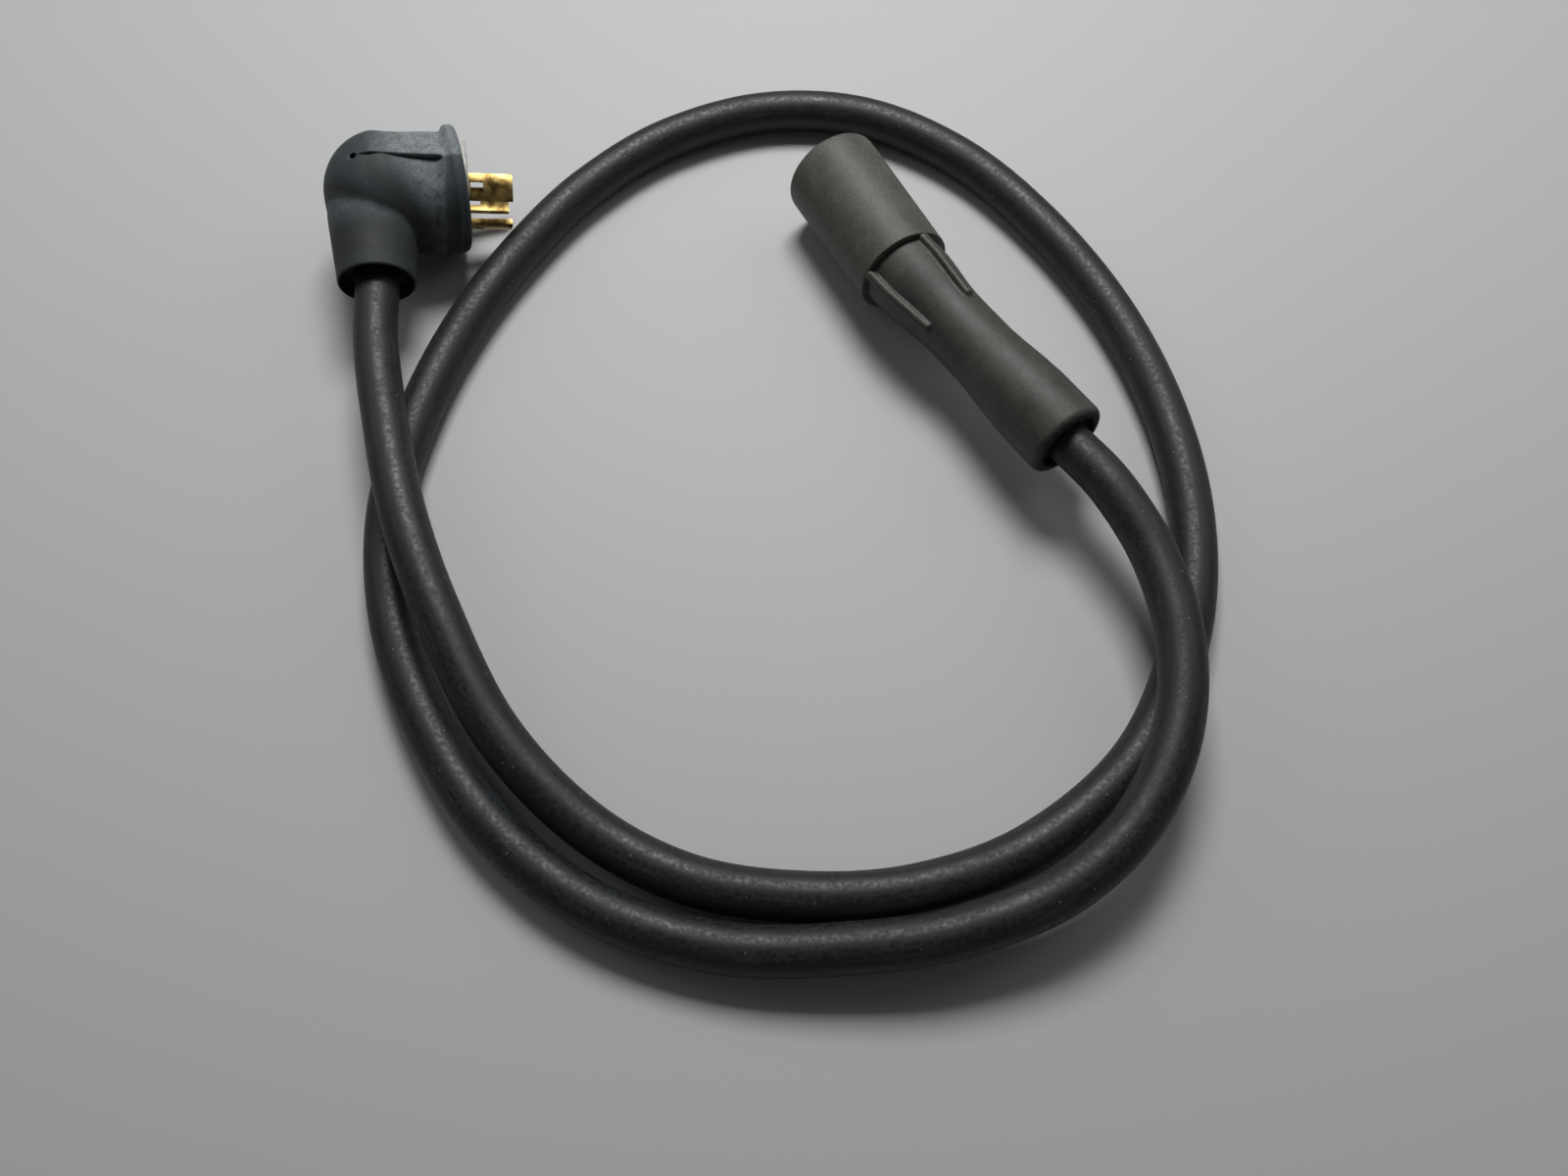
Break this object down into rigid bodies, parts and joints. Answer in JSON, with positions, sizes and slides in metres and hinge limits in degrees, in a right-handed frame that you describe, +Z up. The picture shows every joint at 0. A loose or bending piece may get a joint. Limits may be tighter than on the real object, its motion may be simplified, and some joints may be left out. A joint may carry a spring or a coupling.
{
  "type": "locking extension lead",
  "caption": "Short heavy rubber lead, lying in a double loop, with a right-angle locking plug on one end and a straight in-line locking connector on the other.",
  "frame": {"origin": "on the surface that the lead lies on, under the middle of the box round the plug and the connector", "axes": "+Z up; +X from the plug towards the connector's cable end; +Y away from the loop's double side, towards the connector's mating end"},
  "size_m": [0.1893, 0.2078, 0.0302],
  "materials": {
    "plug_rubber": "moulded rubber, satin and dusty",
    "insert_nylon": "moulded insert",
    "brass": "formed brass strip, dulled by use",
    "core_black": "insulated core",
    "core_white": "insulated core",
    "core_green": "insulated core",
    "copper": "tinned and bare copper strands",
    "cable_rubber": "extruded rubber jacket, satin",
    "nose_rubber": "moulded rubber, satin",
    "boot_rubber": "moulded rubber, satin",
    "socket_nylon": "moulded insulator"
  },
  "bodies": {
    "root": {"plug_body": "plug_rubber", "plug_face_insert": "insert_nylon", "line_blade": "brass", "neutral_blade": "brass", "ground_blade": "brass", "plug_line_core": "core_black", "plug_neutral_core": "core_white", "plug_ground_core": "core_green", "plug_line_strands": "copper", "plug_neutral_strands": "copper", "plug_ground_strands": "copper", "cable_jacket": "cable_rubber", "connector_nose": "nose_rubber", "connector_boot": "boot_rubber", "socket_face_plate": "socket_nylon", "contact_carrier": "socket_nylon", "line_contact": "brass", "neutral_contact": "brass", "ground_contact": "brass", "socket_line_core": "core_black", "socket_neutral_core": "core_white", "socket_ground_core": "core_green", "socket_line_strands": "copper", "socket_neutral_strands": "copper", "socket_ground_strands": "copper"}
  },
  "joints": []
}
